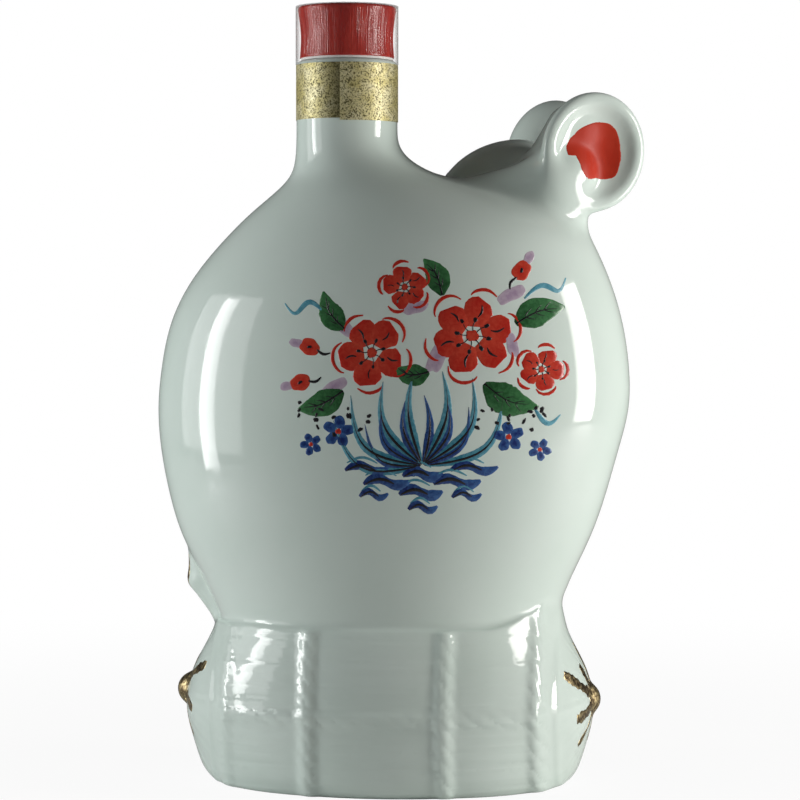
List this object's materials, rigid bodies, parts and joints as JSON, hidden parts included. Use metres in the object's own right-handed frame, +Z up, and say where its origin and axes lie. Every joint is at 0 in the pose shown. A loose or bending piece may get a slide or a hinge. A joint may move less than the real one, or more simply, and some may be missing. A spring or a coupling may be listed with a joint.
{
  "type": "figural liquor decanter",
  "caption": "White glazed porcelain decanter shaped as a seated mouse on a rice bale, with a straight neck and a lift-out plastic stopper.",
  "frame": {"origin": "centre of the flat foot", "axes": "+Z up through the neck, +X towards the side that carries the ears, +Y towards the mouse's belly; the plain painted back looks along -Y"},
  "size_m": [0.1364, 0.1011, 0.2158],
  "materials": {
    "porcelain": "clear glaze over white porcelain",
    "gilding": "fired gold on porcelain",
    "cap_plastic": "deep red, finely wrinkled",
    "plug_plastic": "natural white",
    "washer_foam": "closed-cell foam",
    "clear_film": "clear shrink film",
    "foil_paper": "gold foil paper"
  },
  "bodies": {
    "vessel": {"body_back": "porcelain", "body_belly": "porcelain", "shoulder": "porcelain", "head": "porcelain", "ear_left": "porcelain", "ear_right": "porcelain", "forepaw_left": "porcelain", "forepaw_right": "porcelain", "hind_foot_left": "porcelain", "hind_foot_right": "porcelain", "tail": "porcelain", "bale_foot": "porcelain", "bale_back": "porcelain", "bale_belly": "porcelain", "bale_end_left": "porcelain", "bale_end_right": "porcelain", "end_knot_left": "gilding", "end_knot_right": "gilding", "rope_outer_left": "porcelain", "rope_inner_left": "porcelain", "rope_inner_right": "porcelain", "rope_outer_right": "porcelain", "rope_girdle": "porcelain", "neck_label": "foil_paper"},
    "stopper": {"stopper_cap": "cap_plastic", "stopper_plug": "plug_plastic", "stopper_washer": "washer_foam"},
    "film": {"seal_film": "clear_film"}
  },
  "joints": [
    {"name": "stopper_pull", "type": "slide", "parent": "vessel", "child": "stopper", "axis": [0, 0, 1], "range_m": [0, 0.045]},
    {"name": "film_pull", "type": "slide", "parent": "stopper", "child": "film", "axis": [0, 0, 1], "range_m": [0, 0.03]}
  ]
}
